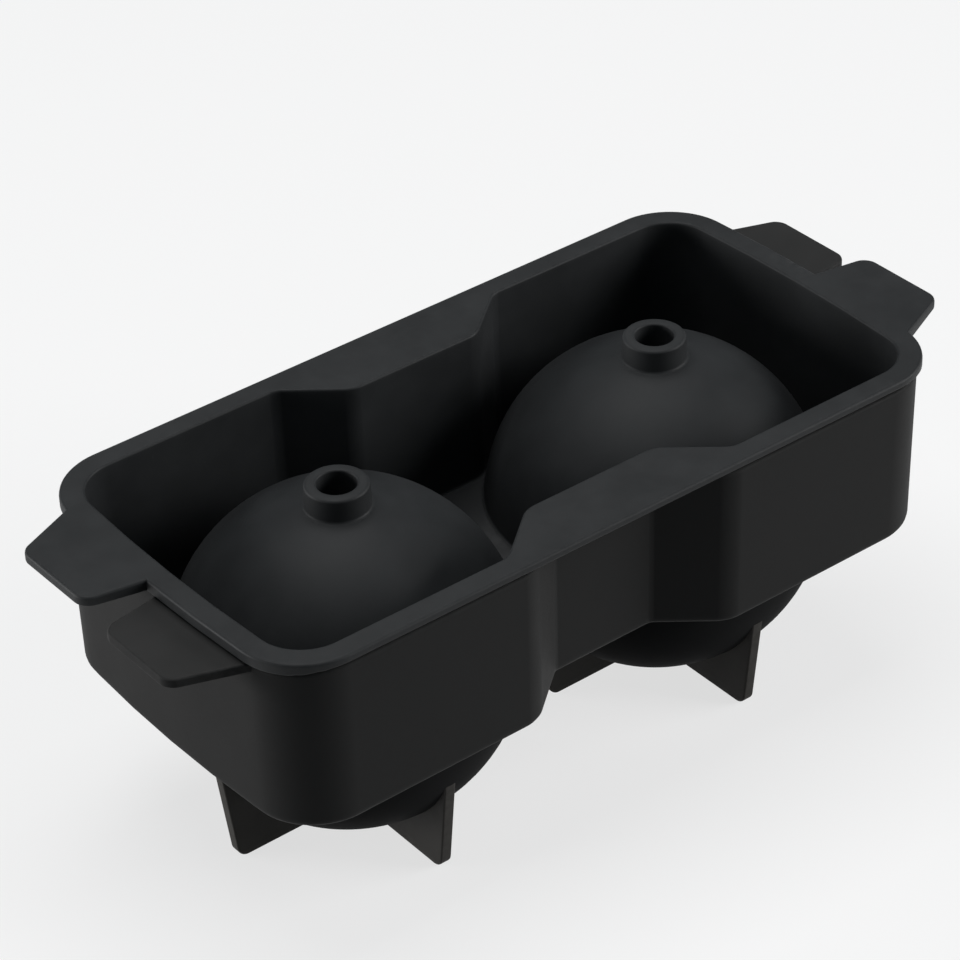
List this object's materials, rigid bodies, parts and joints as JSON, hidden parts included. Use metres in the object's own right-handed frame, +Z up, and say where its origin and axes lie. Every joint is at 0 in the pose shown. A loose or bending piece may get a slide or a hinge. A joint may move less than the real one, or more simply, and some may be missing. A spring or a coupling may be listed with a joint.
{
  "type": "ice ball mould",
  "caption": "Black rubber ice ball mould: a waisted lower tray with half-ball cups on crossed fins, and a lid that nests in it, with domes, filling spouts and pull tabs.",
  "frame": {"origin": "on the table, midway between the two balls", "axes": "+X along the tray, +Y across it, +Z up, the way the lid lifts off"},
  "size_m": [0.183, 0.0804, 0.073],
  "materials": {
    "lid_rubber": "matte black silicone",
    "tray_rubber": "matte black silicone"
  },
  "bodies": {
    "lower_half": {"lower_tray": "tray_rubber", "left_cup": "tray_rubber", "right_cup": "tray_rubber", "left_feet": "tray_rubber", "right_feet": "tray_rubber"},
    "upper_half": {"upper_rim": "lid_rubber", "upper_tray": "lid_rubber", "left_dome": "lid_rubber", "right_dome": "lid_rubber"}
  },
  "joints": [
    {"name": "lid_lift", "type": "slide", "parent": "lower_half", "child": "upper_half", "axis": [0, 0, 1], "range_m": [0, 0.1]}
  ]
}
